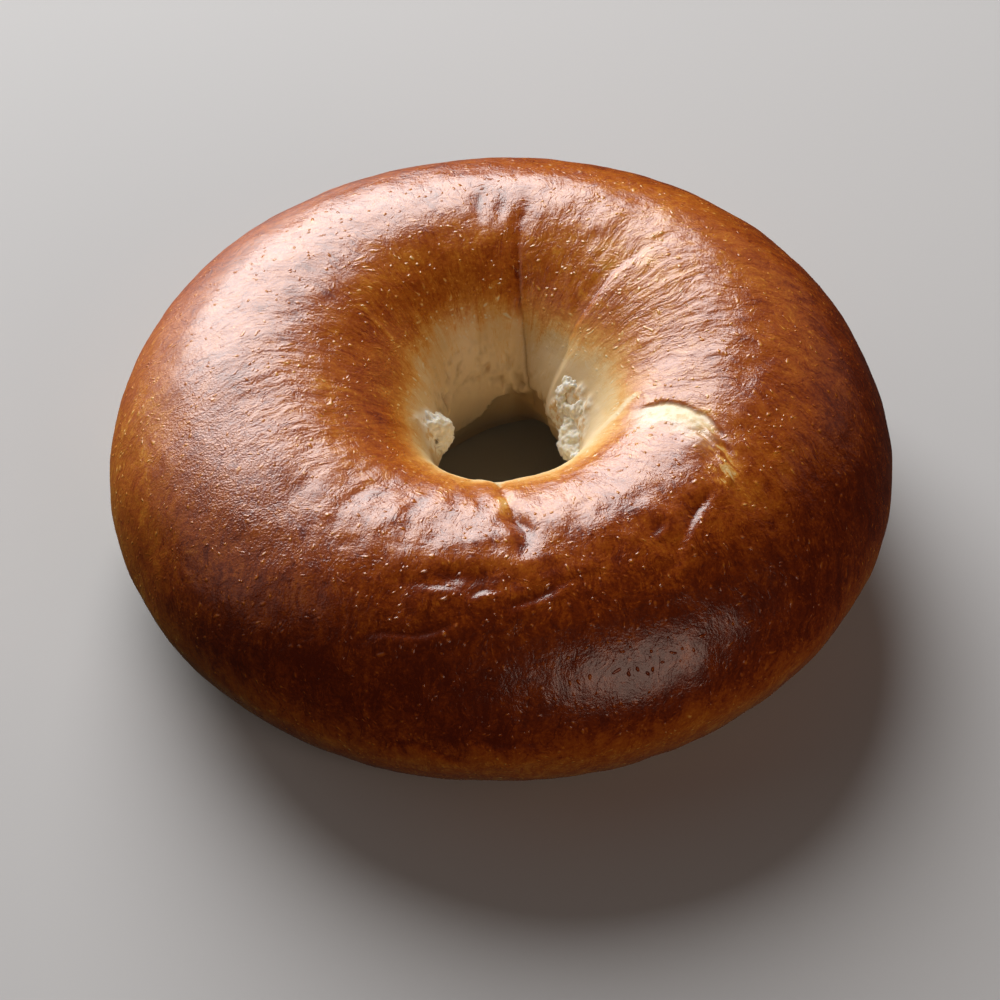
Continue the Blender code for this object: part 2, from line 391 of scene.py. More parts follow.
def browning(turn, over, crust_end):
    """How brown the crust is: 1 darkest chestnut, 0.5 orange, 0 cream. Angles are in degrees."""
    # Darker on the outside towards the front right, and paler on the left
    darker_front_right = smooth_step(0.36, 0.72, 0.5 + 0.5 * np.cos(np.radians(turn - 298)))
    pale_side = bump_at(turned(turn, 188), 0, 32)
    outside = smooth_step(74, 42, over)
    brown = CROWN_BROWN - 0.16 * smooth_step(84, 112, over)
    brown += outside * (0.05 + 0.12 * darker_front_right - 0.24 * pale_side)
    for middle, spread, browner in BROWNING_PATCHES_AND_PAINTED_SHADE:
        brown += browner * patch(turn, over, middle, spread)
    brown += 0.08 * bump_at(turned(turn, 240), 0, 18) * smooth_step(50, 25, over)
    # The low outside saw less heat, and the base the least
    brown *= 1 - 0.42 * smooth_step(20, -10, over)
    brown -= 0.20 * smooth_step(-35, -75, over)
    return brown * (1 - smooth_step(-20, 18, over - crust_end))


# Where the crust is finely wrinkled, and where it has softer pleats: middle, spread and strength
WRINKLED_PATCHES = (
    ((22, 103), (36, 18), 1.0),
    ((205, 92), (48, 26), 0.8),
    ((72, 100), (24, 16), 0.4),
    ((290, 95), (30, 20), 0.3),
)
PLEATED_PATCHES = (
    ((236, 100), (26, 18), 1.0),
    ((68, 92), (16, 14), 0.5),
    ((300, 80), (20, 14), 0.5),
)


def wrinkle_relief(turn, over, dough):
    """Fine wrinkles across the dough and softer pleats, in millimetres, and where they are strong."""
    wrinkled = sum(share * patch(turn, over, middle, spread) for middle, spread, share in WRINKLED_PATCHES)
    pleated = sum(share * patch(turn, over, middle, spread) for middle, spread, share in PLEATED_PATCHES)
    fine = dough * [1, 1, 0.22]
    soft = dough * [1, 1, 0.30]
    relief = wrinkled * (0.060 * lumps(fine, 1.3, 7.0) + 0.035 * lumps(fine, 0.75, 8.0))
    relief += pleated * (0.28 * lumps(soft, 3.1, 9.0) + 0.08 * lumps(soft, 1.5, 10.0))
    return relief, np.clip(wrinkled, 0, 1)


# The step in the wall of the hole, as (around, over) corners
WALL_STEP = (
    (0, 190), (20, 178), (47, 171), (69, 169.5), (85, 175), (94, 190), (101, 204), (112, 214), (140, 212),
    (180, 200), (360, 190))


def wall_relief(turn, over, points):
    """Torn tufts, pits and the step in the wall of the hole: millimetres, torn crumb and painted brown shade.
    """
    # Torn tufts on the right and on the left, and pits between them
    tear_right = patch(turn, over, (8, 166), (27, 16))
    tear_left = patch(turn, over, (190, 165), (19, 15))
    torn = smooth_step(0.25, 0.6, np.maximum(tear_right, tear_left) + 0.18 * lumps(points, 2.0, 14.0))
    pitted = patch(turn, over, (118, 167), (42, 9))
    pits = pitted * np.clip(lumps(points, 1.9, 17.0) + 0.5 * lumps(points, 0.8, 27.0) - 0.10, 0, 1)

    # The sunk panel between the seam and the lap, and the frayed step below which the wall stands back
    panel = smooth_step(35, 43, turn) * smooth_step(86, 76, turn) * smooth_step(130, 150, over)
    step_around, step_over = np.array(WALL_STEP).T
    past_step = over - np.interp(turn, step_around, step_over)
    frayed = 4.5 * lumps(points, 2.5, 18.0) + 3.5 * lumps(points, 0.9, 28.0)
    below = smooth_step(-4.0, 4.5, past_step + frayed) * bump_at(turned(turn, 82), 0, 85)
    rough_edge = bump_at(past_step, -5, 8) * bump_at(turned(turn, 110), 0, 60)
    relief = torn * (0.35 + 0.35 * lumps(points, 1.7, 15.0) + 0.2 * lumps(points, 0.7, 16.0))
    relief += rough_edge * (0.20 * lumps(points, 1.3, 29.0) + 0.12 * lumps(points, 0.6, 30.0))
    relief -= 1.8 * pits + 0.5 * panel + 1.1 * below

    # Painted brown shade in the pits, the ring pit, the sunk panel and below the step, darker mottled spots
    # on the pale wall, and a painted shadow beside the left tuft
    ring_pit = patch(turn, over, (14, 156), (8, 4))
    darker_spots_and_shadow = patch(turn, over, (125, 163), (50, 13))
    darker_spots_and_shadow *= np.clip(lumps(points, 1.3, 35.0) + 0.6 * lumps(points, 0.6, 36.0), 0, 1)
    # A painted shadow cast by the left tuft
    darker_spots_and_shadow += 0.5 * patch(turn, over, (216, 163), (17, 18))
    shade = 0.62 * below + 0.30 * panel + 0.9 * pits + 0.35 * ring_pit + 0.6 * darker_spots_and_shadow
    return relief, torn, np.clip(shade, 0, 1)


def lumpy_relief(turn, over, smooth):
    """The soft lumps of hand-shaped dough, in millimetres: stronger on the front and along its rim."""
    lumpy = 1 + patch(turn, over, (275, 84), (70, 30))
    relief = 0.30 * lumps(smooth, 17.0, 1.0) + 0.15 * lumpy * lumps(smooth, 6.0, 2.0)
    relief += lumpy * (0.070 * lumps(smooth, 2.4, 3.0) + 0.018 * lumps(smooth, 1.1, 4.0))
    rim = patch(turn, over, (270, 132), (60, 16))
    relief += rim * (0.16 * lumps(smooth, 2.6, 25.0) + 0.08 * lumps(smooth, 1.1, 26.0))
    return relief


def split_relief(over, apart, strength, smooth, dough):
    """Relief along the front side of the split, the crumb bared there and the torn fibres beyond it."""
    bared = smooth_step(0.3, -0.2, apart) * smooth_step(-5.6, -1.8, apart + 1.4 * lumps(smooth, 1.8, 13.0))
    bared *= np.maximum(strength, bump_at(over, 112, 11)) * smooth_step(84, 100, over) * (strength > 0)
    relief = bared * (0.06 * lumps(smooth, 1.6, 19.0) + 0.02 * lumps(smooth, 0.6, 20.0))
    fibres = bump_at(apart, -1.6, 2.3) * smooth_step(69, 76, over) * smooth_step(108, 96, over)
    fibres *= strength > 0
    relief += fibres * (0.24 * lumps(dough * [1, 1, 0.3], 0.8, 23.0) + 0.30 * bump_at(apart, -1.5, 0.45))
    return relief, bared, fibres


def crust_fields(around, over):
    """The crust's points, named values for its finish, and its places on the smooth ring and flat dough."""
    smooth = surface(around, over)
    normals = outward(around, over)
    dough = dough_places(around, over)
    turn = np.degrees(around) % 360
    over = np.degrees(over)

    relief = lumpy_relief(turn, over, smooth)
    creased = np.zeros(len(smooth))
    beside = {}
    for name, one_fold in FOLDS.items():
        apart, strength = beside_fold(smooth, normals, one_fold)
        moved, in_groove = fold_relief(one_fold, apart, strength)
        relief += moved
        creased = np.maximum(creased, in_groove)
        beside[name] = (apart, strength)
    wrinkles, wrinkled = wrinkle_relief(turn, over, dough)
    wall, torn, shade = wall_relief(turn, over, smooth)
    split, bared, fibres = split_relief(over, *beside["split"], smooth, dough)
    relief += wrinkles + wall + split

    # The crust gives way to the pale wall in ragged streaks
    ragged = 3.0 * lumps(dough * [1, 1, 0.4], 3.5, 11.0) + 1.6 * lumps(dough * [1, 1, 0.25], 1.2, 12.0)
    crust_end = CRUST_END - 8 * bump_at(turned(turn, 2), 0, 40) - 9 * bump_at(turned(turn, 275), 0, 50)
    crust_end += 7 * bump_at(turned(turn, 212), 0, 22)
    pale = smooth_step(-16, 14, over + ragged - crust_end)
    brown = browning(turn, over + ragged, crust_end)
    brown += 0.07 * lumps(smooth, 13.0, 21.0) + 0.09 * lumps(smooth, 4.5, 22.0)
    # The last of these lines is a painted glint
    for route, half_width, paling in PALER_LINES_AND_PAINTED_GLINT:
        apart, strength = beside_fold(smooth, normals, fold(route, valley=(0.0, half_width)))
        line = strength * bump_at(apart, 0, half_width)
        brown -= paling * line
        relief += PALE_LINE_HEIGHT * line

    # Nothing moves where the dough meets the base
    relief *= smooth_step(0, STILL_HEIGHT, smooth[:, 2])
    values = {
        "brown": brown,
        "pale": pale,
        # Painted shade in the hole, and along the creases on the pale wall
        "shaded": np.maximum(shade, 0.7 * creased * pale),
        "dull": bump_at(turned(turn, 155), 0, 55) * smooth_step(67, 50, over),
        "grainy": patch(turn, over, (212, 66), (26, 22)),
        "torn": np.maximum(torn, bared),
        "bared": bared,
        "fibres": fibres,
        "creased": creased,
        "wrinkled": wrinkled,
    }
    return smooth + relief[:, None] * normals, values, smooth, dough


def crust_grid():
    """Rows of (around, over) angles from the outer foot over the crown to the inner foot."""
    return np.meshgrid(around_angles(), over_angles())


def closed_rows(rows, inward):
    """The rows with the base's rows added, from the inner foot back out to the outer foot."""
    shares = np.arange(1, STEPS_BASE) / STEPS_BASE
    base = [rows[-1] * (1 - share) + rows[0] * share + inward * share for share in shares]
    return np.concatenate([rows, np.array(base)])


def store_values(mesh, name, values):
    """Put a number on each point of the mesh, for its finish to read."""
    stored = mesh.attributes.new(name, "FLOAT", "POINT").data
    stored.foreach_set("value", values.astype(np.float32).ravel())


def store_places(mesh, name, places):
    """Put a place on each point of the mesh, for its finish to read."""
    stored = mesh.attributes.new(name, "FLOAT_VECTOR", "POINT").data
    stored.foreach_set("vector", places.astype(np.float32).ravel())


def ring_faces(count):
    """The corners of every four-sided face, over a number of closed rows."""
    row = np.arange(count)[:, None]
    column = np.arange(STEPS_AROUND)[None, :]
    next_row = (row + 1) % count
    next_column = (column + 1) % STEPS_AROUND
    return np.stack([
        row * STEPS_AROUND + column, row * STEPS_AROUND + next_column,
        next_row * STEPS_AROUND + next_column, next_row * STEPS_AROUND + column,
    ], axis=-1).reshape(-1, 4)


def unwrap(mesh, count):
    """A flat map of the mesh: around to the right, over upwards."""
    row = np.arange(count)[:, None]
    column = np.arange(STEPS_AROUND)[None, :]
    left, lower = np.broadcast_arrays(column / STEPS_AROUND, row / count)
    right = left + 1 / STEPS_AROUND
    upper = lower + 1 / count
    flat = np.stack([left, lower, right, lower, right, upper, left, upper], axis=-1)
    mesh.uv_layers.new(name="OFBake").data.foreach_set("uv", flat.astype(np.float32).ravel())


def make_crust():
    """The whole skin as one closed mesh with its stored values, and the shift that centred it."""
    grid_around, grid_over = crust_grid()
    points, values, smooth, dough = crust_fields(grid_around.ravel(), grid_over.ravel())
    shape = grid_around.shape
    points, smooth, dough = [places.reshape(shape + (3,)) for places in (points, smooth, dough)]
    # The flat dough runs on under the base, back to where it began
    base_width = OUTER_FOOT_RADIUS - INNER_FOOT_RADIUS
    section = dough[0, 0, 2] - dough[-1, 0, 2]
    rows = closed_rows(points, 0)

    vertices = rows.reshape(-1, 3)
    middle = (vertices.min(axis=0) + vertices.max(axis=0)) / 2
    shift = (middle - BOX_MIDDLE) * [1, 1, 0]
    vertices = vertices - shift

    mesh = bpy.data.meshes.new("bagel_crust")
    mesh.from_pydata((vertices * MM).tolist(), [], ring_faces(len(rows)).tolist())
    mesh.shade_smooth()
    unwrap(mesh, len(rows))
    for name, value in values.items():
        store_values(mesh, name, closed_rows(value.reshape(shape), 0))
    store_places(mesh, "ring_place", closed_rows(smooth, 0))
    store_places(mesh, "dough_place", closed_rows(dough, np.array([0, 0, base_width - section])))
    crust = bpy.data.objects.new("bagel_crust", mesh)
    bpy.context.scene.collection.objects.link(crust)
    return crust, shift


# ---------------------------------------------------------------- finishes

CREAM = (0.97, 0.92, 0.78, 1.0)
BUTTERY_CREAM = (0.90, 0.76, 0.50, 1.0)
# The pore colours are painted shade in the hollows of the crumb
GOLDEN_PORE_SHADE = (0.78, 0.52, 0.22, 1.0)
FRESH_CRUMB = (1.0, 0.96, 0.84, 1.0)
FRESH_PORE_SHADE = (0.99, 0.90, 0.70, 1.0)
# The colour of painted shade in the hole and in the creases of the pale wall
SHADE_BROWN = (0.33, 0.205, 0.085, 1.0)
FLOOR_GREY = (0.52, 0.52, 0.53, 1.0)

# Browning, and the colour it gives: cream, gold, orange, chestnut
BROWNING_COLOURS = (
    (0.0, (0.82, 0.64, 0.38)),
    (0.14, (0.80, 0.56, 0.25)),
    (0.28, (0.76, 0.38, 0.08)),
    (0.42, (0.62, 0.215, 0.020)),
    (0.58, (0.46, 0.115, 0.008)),
    (0.74, (0.34, 0.064, 0.0038)),
    (0.86, (0.215, 0.030, 0.0015)),
    (1.0, (0.13, 0.015, 0.0008)),
)

# The roughness of the browned skin at its glossiest, and the height that 1 stands for in each bump, in metres
GLOSSY = 0.16
SKIN_BUMP = 0.09 * MM
CRUMB_BUMP = 0.12 * MM


def add_node(tree, kind, inputs=None, **settings):
    """A new node with its settings and inputs; an input is a value or another node's output."""
    node = tree.nodes.new(kind)
    for name, value in settings.items():
        setattr(node, name, value)
    for name, value in (inputs or {}).items():
        socket = node.inputs[name]
        if isinstance(value, bpy.types.NodeSocket):
            tree.links.new(value, socket)
        else:
            socket.default_value = value
    return node


def maths(tree, operation, first, second=0.0, third=0.0, clamp=False):
    """One step of arithmetic on up to three values."""
    values = {0: first, 1: second, 2: third}
    return add_node(tree, "ShaderNodeMath", values, operation=operation, use_clamp=clamp).outputs[0]


def added(tree, total, value, amount, clamp=False):
    """The total with an amount of the value added to it."""
    return maths(tree, "MULTIPLY_ADD", value, amount, total, clamp)


def blend_colour(tree, share, first, second):
    """The first colour turning into the second as the share goes from 0 to 1."""
    node = tree.nodes.new("ShaderNodeMix")
    node.data_type = "RGBA"
    for index, value in ((0, share), (6, first), (7, second)):
        if isinstance(value, bpy.types.NodeSocket):
            tree.links.new(value, node.inputs[index])
        else:
            node.inputs[index].default_value = value
    return node.outputs[2]


def read_value(tree, name):
    """A number stored on the mesh."""
    return add_node(tree, "ShaderNodeAttribute", attribute_name=name).outputs["Fac"]


def read_place(tree, name):
    """A place stored on the mesh."""
    return add_node(tree, "ShaderNodeAttribute", attribute_name=name).outputs["Vector"]


def stretched(tree, place, scale):
    """A place scaled along each axis: less than 1 draws a texture out along it."""
    return add_node(tree, "ShaderNodeMapping", {"Vector": place, "Scale": scale}).outputs["Vector"]


def moved_by(tree, place, wander, amount):
    """A place moved by the wandering colour, by up to amount along each axis."""
    values = {0: wander, 1: amount, 2: place}
    return add_node(tree, "ShaderNodeVectorMath", values, operation="MULTIPLY_ADD").outputs[0]


def grain(tree, place, scale, detail=2.0, rough=0.5):
    """Soft noise around 0.5; scale is the number of lumps to the millimetre."""
    inputs = {"Vector": place, "Scale": scale, "Detail": detail, "Roughness": rough}
    return add_node(tree, "ShaderNodeTexNoise", inputs).outputs["Fac"]


def centred(tree, noise_value):
    """Noise moved so that its middle is 0."""
    return maths(tree, "SUBTRACT", noise_value, 0.5)


def between(tree, value, low, high):
    """0 below low, 1 above high and a smooth rise between; low above high turns it round."""
    return add_node(tree, "ShaderNodeMapRange", {"Value": value, "From Min": low, "From Max": high},
                    interpolation_type="SMOOTHSTEP").outputs["Result"]


def crease(tree, noise_value, width):
    """Narrow lines, 1 at their middle, where the noise crosses its own middle."""
    return between(tree, maths(tree, "ABSOLUTE", centred(tree, noise_value)), width, 0.0)


def colour_steps(tree, share, steps):
    """A colour ramp from (place, colour) steps."""
    node = add_node(tree, "ShaderNodeValToRGB", {"Fac": share})
    ramp = node.color_ramp
    while len(ramp.elements) < len(steps):
        ramp.elements.new(0.5)
    for element, (place, colour) in zip(ramp.elements, steps):
        element.position = place
        element.color = (*colour, 1.0)
    return node.outputs["Color"]


def new_material(name):
    """A material with its node tree and its shader."""
    material = bpy.data.materials.new(name)
    material.use_nodes = True
    return material, material.node_tree, material.node_tree.nodes["Principled BSDF"]


def new_group(name, inputs, outputs):
    """A shader node group with its sockets as (name, kind, value), and its two ends."""
    group = bpy.data.node_groups.new(name, "ShaderNodeTree")
    for label, kind, value in inputs:
        socket = group.interface.new_socket(name=label, in_out="INPUT", socket_type=kind)
        if value is not None:
            socket.default_value = value
    for label, kind in outputs:
        group.interface.new_socket(name=label, in_out="OUTPUT", socket_type=kind)
    return group, group.nodes.new("NodeGroupInput").outputs, group.nodes.new("NodeGroupOutput").inputs


def group_node(tree, group, inputs):
    """A group placed in a material with its own values; gives the group's outputs."""
    node = tree.nodes.new("ShaderNodeGroup")
    node.node_tree = group
    for name, value in inputs.items():
        if isinstance(value, bpy.types.NodeSocket):
            tree.links.new(value, node.inputs[name])
        else:
            node.inputs[name].default_value = value
    return node.outputs


def crumb_group():
    """Open bread crumb: its creamy colour with painted shade in its pores, and its height."""
    group, given, made = new_group(
        "bread_crumb",
        [("Place", "NodeSocketVector", None), ("Pore Size", "NodeSocketFloat", 0.6),
         ("Crumb Colour", "NodeSocketColor", BUTTERY_CREAM), ("Painted Pore Shade", "NodeSocketColor", GOLDEN_PORE_SHADE)],
        [("Colour", "NodeSocketColor"), ("Height", "NodeSocketFloat")])
    scale = maths(group, "DIVIDE", 1.0, given["Pore Size"])
    pores = grain(group, given["Place"], scale, 3.0, 0.65)
    # Painted shade: the low places of the pore noise, which are also low in the height, take the pore shade
    shade = between(group, pores, 0.34, 0.60)
    group.links.new(blend_colour(group, shade, given["Painted Pore Shade"], given["Crumb Colour"]), made["Colour"])
    group.links.new(pores, made["Height"])
    return group


def browned_group():
    """Baked dough from cream through gold and orange to dark chestnut."""
    group, given, made = new_group(
        "browned_dough", [("Browning", "NodeSocketFloat", 0.5)], [("Colour", "NodeSocketColor")])
    colour = colour_steps(group, given["Browning"], BROWNING_COLOURS)
    group.links.new(colour, made["Colour"])
    return group


def blisters(tree, place, spacing, size, share):
    """Tiny domes scattered over the crust: 1 at each middle, on the given share of the cells.

    Spacing and size, the dome's radius, are in millimetres.
    """
    cells = add_node(tree, "ShaderNodeTexVoronoi", {"Vector": place, "Scale": 1 / spacing}, feature="F1")
    chance = add_node(tree, "ShaderNodeSeparateColor", {"Color": cells.outputs["Color"]}).outputs[0]
    chosen = maths(tree, "LESS_THAN", chance, share)
    dome = between(tree, cells.outputs["Distance"], size / spacing, 0.0)
    return maths(tree, "MULTIPLY", dome, chosen)


def crust_material():
    """Glossy browned crust: its skin, its browning, the bared crumb and the painted brown shade in the hole.
    """
    material, tree, shader = new_material("baked_crust")
    place = read_place(tree, "ring_place")
    dough = read_place(tree, "dough_place")
    brown = read_value(tree, "brown")
    pale = read_value(tree, "pale")
    torn = read_value(tree, "torn")
    bared = read_value(tree, "bared")
    fibres = read_value(tree, "fibres")
    creased = read_value(tree, "creased")
    wrinkled = read_value(tree, "wrinkled")
    shaded = read_value(tree, "shaded")
    grainy = read_value(tree, "grainy")
    dull = read_value(tree, "dull")

    # Slow wandering, so that no texture runs straight
    wander = add_node(tree, "ShaderNodeTexNoise", {"Vector": place, "Scale": 0.2, "Detail": 1.0})
    wander = wander.outputs["Color"]
    drifted = moved_by(tree, place, wander, (5.0, 5.0, 5.0))
    swirled = moved_by(tree, dough, wander, (3.0, 3.0, 6.0))

    # Skin: broken creases across the dough, fainter ones every way, and blisters
    patchy = between(tree, grain(tree, drifted, 0.55, 1.0), 0.44, 0.60)
    across = grain(tree, stretched(tree, swirled, (1.0, 1.0, 0.28)), 0.75, 2.0, 0.5)
    long_creases = maths(tree, "MULTIPLY", crease(tree, across, 0.04), patchy)
    every_way = grain(tree, drifted, 0.85, 2.0, 0.55)
    short_creases = crease(tree, every_way, 0.045)
    fine = grain(tree, place, 3.0, 2.0, 0.55)
    small_blisters = blisters(tree, drifted, 1.2, 0.36, 0.60)
    large_blisters = blisters(tree, place, 2.8, 0.46, 0.35)
    domes = maths(tree, "MAXIMUM", small_blisters, maths(tree, "MULTIPLY", large_blisters, 0.6))
    raised = maths(tree, "MAXIMUM", small_blisters, maths(tree, "MULTIPLY", large_blisters, 0.2))
    specks = blisters(tree, drifted, 0.62, 0.20, 0.35)
    skin = maths(tree, "SUBTRACT", 1.0, maths(tree, "MAXIMUM", pale, torn), clamp=True)
    height = maths(tree, "MULTIPLY", long_creases, added(tree, -0.14, wrinkled, -0.30))
    height = added(tree, height, short_creases, -0.05)
    height = added(tree, height, across, added(tree, 0.6, wrinkled, 1.4))
    height = added(tree, height, every_way, 0.9)
    height = added(tree, height, raised, 1.15)
    height = added(tree, height, fine, added(tree, 0.4, grainy, 1.3))
    height = maths(tree, "MULTIPLY", height, added(tree, 0.2, skin, 0.8))

    # Colour: mottling over the browning, paler blisters and specks that are partly painted glints, creases
    # darkened with painted shade, golden hairs and torn fibres
    mottle = grain(tree, drifted, 0.5, 4.0, 0.68)
    flecks = grain(tree, place, 2.2, 3.0, 0.65)
    streaks = grain(tree, stretched(tree, swirled, (1.0, 1.0, 0.13)), 1.2, 2.0, 0.6)
    hairs = maths(tree, "MULTIPLY", crease(tree, streaks, 0.02), patchy)
    uneven = maths(tree, "MULTIPLY", centred(tree, mottle), 0.44)
    uneven = added(tree, uneven, centred(tree, flecks), 0.33)
    uneven = added(tree, uneven, centred(tree, streaks), 0.25)
    baked = added(tree, brown, uneven, added(tree, 1.25, pale, -1.0))
    # Paler blisters and specks: partly their own paler colour, partly painted glints
    baked = added(tree, baked, domes, -0.36)
    baked = added(tree, baked, specks, -0.22)
    baked = added(tree, baked, hairs, -0.13)
    # Painted shade darkens the creases
    baked = added(tree, baked, long_creases, 0.10)
    baked = added(tree, baked, maths(tree, "MULTIPLY", creased, skin), 0.18)
    golden = maths(tree, "MULTIPLY", fibres, between(tree, streaks, 0.44, 0.60))
    baked = added(tree, baked, golden, -0.42)
    baked = added(tree, baked, fibres, -0.12, clamp=True)
    colour = group_node(tree, BROWNED_DOUGH, {"Browning": baked})["Colour"]
    crumb_colour = blend_colour(tree, bared, CREAM, BUTTERY_CREAM)
    crumb = group_node(tree, BREAD_CRUMB, {"Place": place, "Pore Size": 1.2, "Crumb Colour": crumb_colour})
    # Painted shade in the hole and along the creases on the pale wall
    colour = blend_colour(tree, shaded, colour, SHADE_BROWN)
    colour = blend_colour(tree, torn, colour, crumb["Colour"])
    tree.links.new(colour, shader.inputs["Base Color"])

    # Bump, and gloss: the browned skin is glossy, the pale wall, the torn crumb and the far left side dull
    height = added(tree, height, crumb["Height"], maths(tree, "MULTIPLY", torn, 0.8))
    bump = add_node(tree, "ShaderNodeBump", {"Height": height, "Distance": SKIN_BUMP, "Strength": 1.0})
    tree.links.new(bump.outputs["Normal"], shader.inputs["Normal"])
    roughness = added(tree, GLOSSY, mottle, 0.14)
    roughness = added(tree, roughness, pale, 0.38)
    roughness = added(tree, roughness, dull, 0.26)
    roughness = maths(tree, "MAXIMUM", roughness, maths(tree, "MULTIPLY", torn, 0.5))
    tree.links.new(roughness, shader.inputs["Roughness"])
    shader.inputs["Specular IOR Level"].default_value = 0.58
    shader.inputs["Subsurface Weight"].default_value = 0.05
    shader.inputs["Subsurface Radius"].default_value = (1.0, 0.45, 0.18)
    shader.inputs["Subsurface Scale"].default_value = 0.002
    return material


def crumb_material():
    """Soft dull crumb, as torn from inside the dough."""
    material, tree, shader = new_material("torn_crumb")
    crumb = group_node(tree, BREAD_CRUMB, {
        "Place": read_place(tree, "crumb_place"), "Pore Size": 0.55,
        "Crumb Colour": FRESH_CRUMB, "Painted Pore Shade": FRESH_PORE_SHADE})
    tree.links.new(crumb["Colour"], shader.inputs["Base Color"])
    relief = {"Height": crumb["Height"], "Distance": CRUMB_BUMP, "Strength": 0.9}
    bump = add_node(tree, "ShaderNodeBump", relief)
    tree.links.new(bump.outputs["Normal"], shader.inputs["Normal"])
    shader.inputs["Roughness"].default_value = 0.85
    shader.inputs["Subsurface Weight"].default_value = 0.35
    shader.inputs["Subsurface Radius"].default_value = (1.0, 0.85, 0.6)
    shader.inputs["Subsurface Scale"].default_value = 0.0008
    return material


# ---------------------------------------------------------------- torn crumb

# The torn crumb's lumps: least and most radius in millimetres, larger in a mass's middle than at its edge
LUMP_RADIUS = (0.34, 0.62)
MIDDLE_SWELL = 1.15
EDGE_SHRINK = 0.62
# Least and most stretch of a lump along each of its axes
LUMP_STRETCH = (0.5, 1.5)
# How deep the lumps lie in the wall at a mass's edge, and how finely they melt together, in millimetres
SUNK = 0.15
MELT_VOXEL = 0.19

# Each clump's masses, as (middle, spread, how far proud, number of lumps), and the gap left in it
CLUMPS = {
    "torn_crumb_right": {
        "masses": (((15, 159), (21, 9), 0.9, 480), ((-6, 173), (24, 10), 2.4, 680)),
        "pit": ((15, 157), (8, 4)), "seed": 3},
    "torn_crumb_left": {
        "masses": (((185, 166), (17, 12), 2.3, 520),),
        "pit": ((200, 190), (3, 2)), "seed": 4},
}


def small_ball():
    """The points and the triangles of a round ball of radius 1."""
    ball = bmesh.new()
    bmesh.ops.create_icosphere(ball, subdivisions=2, radius=1.0)
    points = np.array([vertex.co for vertex in ball.verts])
    faces = np.array([[vertex.index for vertex in face.verts] for face in ball.faces])
    ball.free()
    return points, faces


def scattered_lumps(masses, pit, shift, seed):
    """Points and triangles of many small lumps on the wall of the hole, in millimetres.

    Each mass is its middle and spread as (around, over) in degrees, how far it stands off the wall and its
    number of lumps. Pit is the middle and spread of a gap. Shift is what centred the ring, in millimetres.
    """
    chance = np.random.default_rng(seed)
    ball_points, ball_faces = small_ball()
    pit_middle, pit_spread = np.array(pit)
    points, faces = [], []
    for middle, spread, proud_most, count in masses:
        for _ in range(count):
            turn, reach = chance.uniform(0, 2 * np.pi), np.sqrt(chance.uniform(0, 1))
            lobes = 0.90 + 0.13 * np.cos(3 * turn + seed) + 0.08 * np.cos(7 * turn)
            place = np.array(middle) + np.array(spread) * reach * lobes * [np.cos(turn), np.sin(turn)]
            radius = chance.uniform(*LUMP_RADIUS) * (MIDDLE_SWELL - EDGE_SHRINK * reach)
            proud = chance.uniform(0.55, 1.0) * proud_most * (1 - reach ** 2) - SUNK
            if np.hypot(*((place - pit_middle) / pit_spread)) < 1:
                continue
            around, over = np.radians(place)
            point = surface(around, over) + outward(around, over) * proud - shift
            stretch = chance.uniform(*LUMP_STRETCH, 3) * radius
            tilt = np.array(Matrix.Rotation(turn, 3, "X") @ Matrix.Rotation(2 * turn, 3, "Z"))
            faces.append(ball_faces + len(points) * len(ball_points))
            points.append((ball_points * stretch) @ tilt.T + point)
    return np.concatenate(points), np.concatenate(faces)


def melt_together(clump):
    """Turn a clump's lumps into one closed mesh."""
    melt = clump.modifiers.new("melt", "REMESH")
    melt.mode = "VOXEL"
    melt.voxel_size = MELT_VOXEL * MM
    melted = bpy.data.meshes.new_from_object(clump.evaluated_get(bpy.context.evaluated_depsgraph_get()))
    clump.modifiers.clear()
    clump.data = melted
    return melted


def crumb_clump(name, masses, pit, shift, seed):
    """Torn crumb on the wall of the hole: many small lumps melted into one rough solid."""
    points, faces = scattered_lumps(masses, pit, shift, seed)
    mesh = bpy.data.meshes.new(name)
    mesh.from_pydata((points * MM).tolist(), [], faces.tolist())
    clump = bpy.data.objects.new(name, mesh)
    bpy.context.scene.collection.objects.link(clump)
    melted = melt_together(clump)

    places = np.zeros(len(melted.vertices) * 3)
    melted.vertices.foreach_get("co", places)
    places = places.reshape(-1, 3) / MM
    facing = np.zeros_like(places).ravel()
    melted.vertices.foreach_get("normal", facing)
    relief = 0.26 * lumps(places, 1.2, 31.0) + 0.20 * lumps(places, 0.6, 32.0)
    relief += 0.14 * lumps(places, 0.32, 33.0)
    shaped = (places + relief[:, None] * facing.reshape(-1, 3)) * MM
    melted.vertices.foreach_set("co", shaped.ravel())
    store_places(melted, "crumb_place", places)
    melted.update()
    melted.shade_smooth()
    return clump


# ---------------------------------------------------------------- floor, light and camera

# Sizes and distances here are metres, and angles degrees
FLOOR_SIZE = 6.0

# The lights look at the middle of the dough, and the camera a little in front of it
LIGHT_TARGET = Vector((0, 0, 0.02))
CAMERA_TARGET = Vector((-0.20 * MM, -11.52 * MM, 18.0 * MM))
CAMERA_ABOVE = 45.76
CAMERA_DISTANCE = 0.45
# The lens and the sensor's width are millimetres
CAMERA_LENS = 112.3
CAMERA_SENSOR = 36.0

DAYLIGHT = (1.0, 0.985, 0.965)
RIGHT_WALL_LIGHT = (1.0, 0.97, 0.93)
LEFT_WALL_LIGHT = (1.0, 0.95, 0.89)
WARM_CARD_LIGHT = (1.0, 0.76, 0.62)
ROOM_LIGHT = (1.0, 0.92, 0.84, 1.0)
ROOM_STRENGTH = 0.020

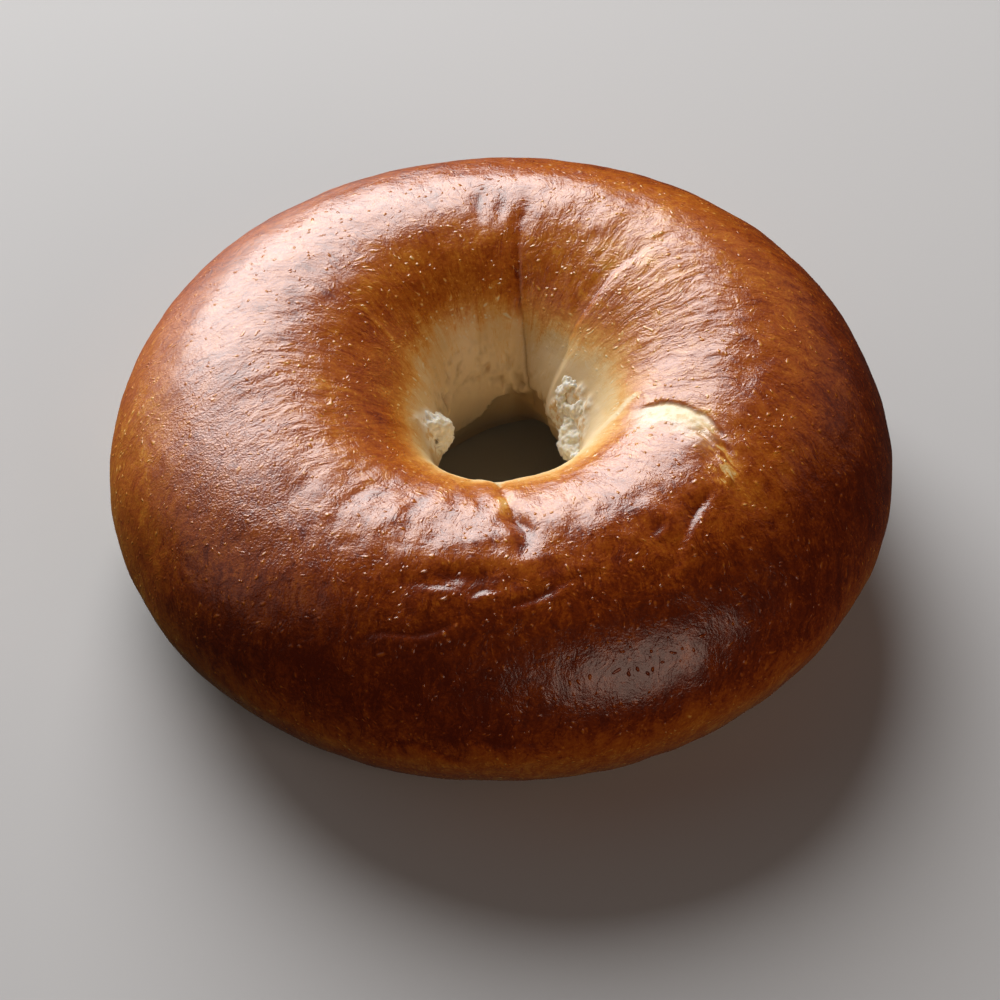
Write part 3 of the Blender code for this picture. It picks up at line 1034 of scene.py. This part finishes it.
# Name, shape, angle around and above the floor, distance, width, height, power and colour
LIGHTS = (
    ("window", "ELLIPSE", 110.5, 31.8, 1.2, 1.16, 0.97, 24.2, DAYLIGHT),
    ("low_window", "RECTANGLE", 117, 5, 1.25, 1.0, 0.26, 3.3, DAYLIGHT),
    ("right_wall", "RECTANGLE", 52, 24, 1.3, 1.2, 1.0, 0.5, RIGHT_WALL_LIGHT),
    ("left_wall", "RECTANGLE", 172, 32, 1.3, 1.2, 1.2, 1.6, LEFT_WALL_LIGHT),
    ("front_card", "ELLIPSE", -53, 19, 1.2, 0.74, 0.88, 3.3, WARM_CARD_LIGHT),
)


def make_floor():
    """A pale matt floor, which throws no light back up at the bagel."""
    bpy.ops.mesh.primitive_plane_add(size=FLOOR_SIZE, location=(0, 0, 0))
    floor = bpy.context.object
    floor.name = "floor"
    material, _, shader = new_material("pale_floor")
    shader.inputs["Base Color"].default_value = FLOOR_GREY
    shader.inputs["Roughness"].default_value = 0.8
    floor.data.materials.append(material)
    floor.visible_diffuse = False
    floor.visible_glossy = False


def soft_light(name, shape, around, above, distance, width, height, power, colour):
    """A flat light that looks at the bagel from an angle around it and above the floor; power is watts."""
    light = bpy.data.lights.new(name, "AREA")
    light.shape = shape
    light.size = width
    light.size_y = height
    light.energy = power
    light.color = colour
    holder = bpy.data.objects.new(name, light)
    turn = math.radians(around)
    rise = math.radians(above)
    away = Vector((math.cos(turn) * math.cos(rise), math.sin(turn) * math.cos(rise), math.sin(rise)))
    holder.location = LIGHT_TARGET + away * distance
    holder.rotation_euler = away.to_track_quat("Z", "Y").to_euler()
    bpy.context.scene.collection.objects.link(holder)


def make_light():
    """A window behind, pale walls beside it, a warm card in front and a faint warm room."""
    for light in LIGHTS:
        soft_light(*light)
    world = bpy.data.worlds.new("studio")
    world.use_nodes = True
    background = world.node_tree.nodes["Background"]
    background.inputs["Color"].default_value = ROOM_LIGHT
    background.inputs["Strength"].default_value = ROOM_STRENGTH
    bpy.context.scene.world = world
    bpy.context.scene.view_settings.view_transform = "Standard"


def make_camera():
    """The camera, in front of the bagel and looking down on it."""
    camera = bpy.data.cameras.new("camera")
    camera.lens = CAMERA_LENS
    camera.sensor_width = CAMERA_SENSOR
    holder = bpy.data.objects.new("camera", camera)
    rise = math.radians(CAMERA_ABOVE)
    holder.location = CAMERA_TARGET + Vector((0, -math.cos(rise), math.sin(rise))) * CAMERA_DISTANCE
    holder.rotation_euler = (math.pi / 2 - rise, 0, 0)
    bpy.context.scene.collection.objects.link(holder)
    bpy.context.scene.camera = holder


# ---------------------------------------------------------------- assembly

BREAD_CRUMB = crumb_group()
BROWNED_DOUGH = browned_group()

crust, shift = make_crust()
crust.data.materials.append(crust_material())
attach(crust, "root")
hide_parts("bagel")

crumb_finish = crumb_material()
for clump_name, clump_shape in CLUMPS.items():
    clump = crumb_clump(clump_name, clump_shape["masses"], clump_shape["pit"], shift, clump_shape["seed"])
    clump.data.materials.append(crumb_finish)
    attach(clump, "root")

make_floor()
make_light()
make_camera()
